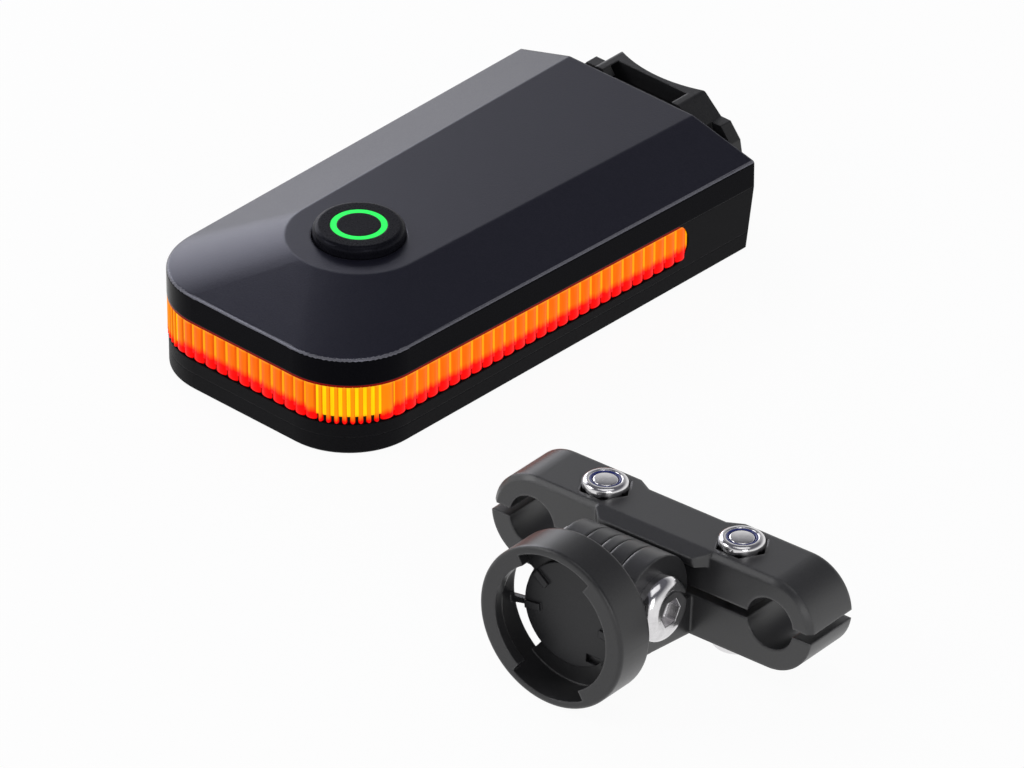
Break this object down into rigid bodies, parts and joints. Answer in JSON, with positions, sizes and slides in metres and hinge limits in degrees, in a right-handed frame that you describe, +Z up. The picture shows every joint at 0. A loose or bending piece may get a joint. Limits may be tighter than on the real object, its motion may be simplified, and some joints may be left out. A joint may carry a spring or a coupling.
{
  "type": "bicycle tail light with mounting bracket",
  "caption": "Flat rear bike light with fluted red lens, push button and quarter-turn mount, with seat-post adapter and a saddle-rail bracket with tilting socket.",
  "frame": {"origin": "on the floor, under the middle of the whole set's bounding box", "axes": "+Z up, +Y along the light from its fluted rear end to its mounting end, +X across the light towards the bracket"},
  "size_m": [0.1385, 0.1218, 0.0264],
  "materials": {
    "cover_plastic": "satin, fine grain",
    "seal_rubber": "matte",
    "lens_red": "clear-coloured, fluted",
    "housing_plastic": "fine texture",
    "guide_white": "milky",
    "board_green": "solder mask",
    "lamp_body": "milky",
    "cell_foil": "satin foil",
    "switch_body": "matte",
    "port_steel": "satin",
    "flap_rubber": "matte",
    "button_rubber": "satin",
    "ring_green": "glowing when on",
    "mount_nylon": "satin",
    "screw_steel": "satin",
    "bracket_black": "satin black",
    "detent_black": "satin",
    "bolt_steel": "bright",
    "nylon_blue": "satin"
  },
  "bodies": {
    "light": {"top_cover": "cover_plastic", "cover_seal": "seal_rubber", "side_lens": "lens_red", "lower_housing": "housing_plastic", "bottom_cover": "housing_plastic", "housing_screws": "screw_steel", "light_guide": "guide_white", "circuit_board": "board_green", "side_leds": "lamp_body", "rear_leds": "lamp_body", "battery_cell": "cell_foil", "tact_switch": "switch_body", "status_led": "lamp_body", "usb_socket": "port_steel", "turn_boss": "mount_nylon", "boss_screws": "screw_steel"},
    "button": {"button_cap": "button_rubber", "button_ring": "ring_green", "switch_plunger": "switch_body"},
    "port_flap": {"port_cover": "flap_rubber"},
    "adapter": {"post_adapter": "mount_nylon", "adapter_pad": "flap_rubber"},
    "clamp_base": {"clamp_lower": "bracket_black", "clamp_bolts": "bolt_steel", "pivot_screw": "bolt_steel", "pivot_nut": "bolt_steel"},
    "clamp_cap": {"clamp_upper": "bracket_black", "lock_nuts": "bolt_steel", "nut_inserts": "nylon_blue"},
    "socket": {"socket_ring": "bracket_black", "detent_plate": "detent_black"}
  },
  "joints": [
    {"name": "button_press", "type": "slide", "parent": "light", "child": "button", "axis": [0, -0.018, -0.9998], "range_m": [0, 0.0008], "stiffness_N_per_m": 1500, "springref_m": -0.0004},
    {"name": "flap_open", "type": "hinge", "parent": "light", "child": "port_flap", "pos_m": [-0.06863, 0.05129, 0.00783], "axis": [0, 0, -1], "range_deg": [0, 110]},
    {"name": "adapter_turn", "type": "hinge", "parent": "light", "child": "adapter", "pos_m": [-0.04425, 0.05483, 0.0097], "axis": [0, 1, 0], "range_deg": [0, 90]},
    {"name": "bracket_lift", "type": "slide", "parent": "light", "child": "clamp_base", "axis": [0, 0, 1], "range_m": [0, 0.06]},
    {"name": "clamp_close", "type": "slide", "parent": "clamp_base", "child": "clamp_cap", "axis": [-0.0056, 0.0614, 0.9981], "range_m": [-0.0013, 0.003]},
    {"name": "socket_tilt", "type": "hinge", "parent": "clamp_base", "child": "socket", "pos_m": [0.04074, -0.04451, 0.01251], "axis": [0.9959, 0.0906, 0], "range_deg": [-60, 60]}
  ]
}
